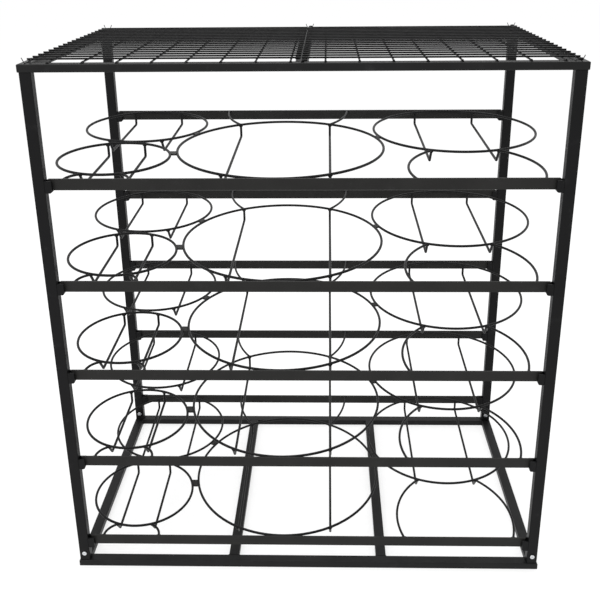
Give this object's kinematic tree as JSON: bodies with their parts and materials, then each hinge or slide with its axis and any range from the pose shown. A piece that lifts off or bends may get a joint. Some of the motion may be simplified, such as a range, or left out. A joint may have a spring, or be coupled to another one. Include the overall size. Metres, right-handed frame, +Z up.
{
  "type": "tiered ring-holder rack",
  "caption": "Free-standing black steel rack with lift-out tiers of wire rings, each ring with cradle wires below it for a round pot, and a wire-mesh top.",
  "frame": {"origin": "centre of the footprint on the floor", "axes": "+Z up; -Y is the front, the low side of every tier; +X to the right seen from the front"},
  "size_m": [0.881, 0.488, 0.9564],
  "materials": {
    "black_powder_coat": "satin to matt black powder coat on steel tube, flat bar and wire",
    "zinc_screw": "bright zinc",
    "binding_wire": "black annealed wire"
  },
  "bodies": {
    "frame": {"bottom_rail_front": "black_powder_coat", "bottom_rail_rear": "black_powder_coat", "bottom_rail_left": "black_powder_coat", "bottom_rail_right": "black_powder_coat", "top_rail_front": "black_powder_coat", "top_rail_rear": "black_powder_coat", "top_rail_left": "black_powder_coat", "top_rail_right": "black_powder_coat", "bottom_cross_left": "black_powder_coat", "bottom_cross_right": "black_powder_coat", "top_rail_centre": "black_powder_coat", "post_front_left": "black_powder_coat", "post_front_right": "black_powder_coat", "post_rear_left": "black_powder_coat", "post_rear_right": "black_powder_coat", "post_spigots": "black_powder_coat", "post_screws": "zinc_screw", "brackets_front_left": "black_powder_coat", "brackets_front_right": "black_powder_coat", "brackets_rear_left": "black_powder_coat", "brackets_rear_right": "black_powder_coat", "mesh_left": "black_powder_coat", "mesh_right": "black_powder_coat", "mesh_ties": "binding_wire"},
    "tier_1": {"tier_1_front_bar": "black_powder_coat", "tier_1_rear_bar": "black_powder_coat", "tier_1_rings": "black_powder_coat", "tier_1_cradle_wires": "black_powder_coat", "tier_1_link_wires": "black_powder_coat", "tier_1_tabs": "black_powder_coat"},
    "tier_2": {"tier_2_front_bar": "black_powder_coat", "tier_2_rear_bar": "black_powder_coat", "tier_2_rings": "black_powder_coat", "tier_2_cradle_wires": "black_powder_coat", "tier_2_link_wires": "black_powder_coat", "tier_2_tabs": "black_powder_coat"},
    "tier_3": {"tier_3_front_bar": "black_powder_coat", "tier_3_rear_bar": "black_powder_coat", "tier_3_rings": "black_powder_coat", "tier_3_cradle_wires": "black_powder_coat", "tier_3_link_wires": "black_powder_coat", "tier_3_tabs": "black_powder_coat"},
    "tier_4": {"tier_4_front_bar": "black_powder_coat", "tier_4_rear_bar": "black_powder_coat", "tier_4_rings": "black_powder_coat", "tier_4_cradle_wires": "black_powder_coat", "tier_4_link_wires": "black_powder_coat", "tier_4_tabs": "black_powder_coat"},
    "tier_5": {"tier_5_front_bar": "black_powder_coat", "tier_5_rear_bar": "black_powder_coat", "tier_5_rings": "black_powder_coat", "tier_5_cradle_wires": "black_powder_coat", "tier_5_link_wires": "black_powder_coat", "tier_5_tabs": "black_powder_coat"}
  },
  "joints": [
    {"name": "tier_1_lift", "type": "slide", "parent": "frame", "child": "tier_1", "axis": [0, 0, 1], "range_m": [0, 0.06]},
    {"name": "tier_2_lift", "type": "slide", "parent": "frame", "child": "tier_2", "axis": [0, 0, 1], "range_m": [0, 0.06]},
    {"name": "tier_3_lift", "type": "slide", "parent": "frame", "child": "tier_3", "axis": [0, 0, 1], "range_m": [0, 0.06]},
    {"name": "tier_4_lift", "type": "slide", "parent": "frame", "child": "tier_4", "axis": [0, 0, 1], "range_m": [0, 0.06]},
    {"name": "tier_5_lift", "type": "slide", "parent": "frame", "child": "tier_5", "axis": [0, 0, 1], "range_m": [0, 0.06]}
  ]
}
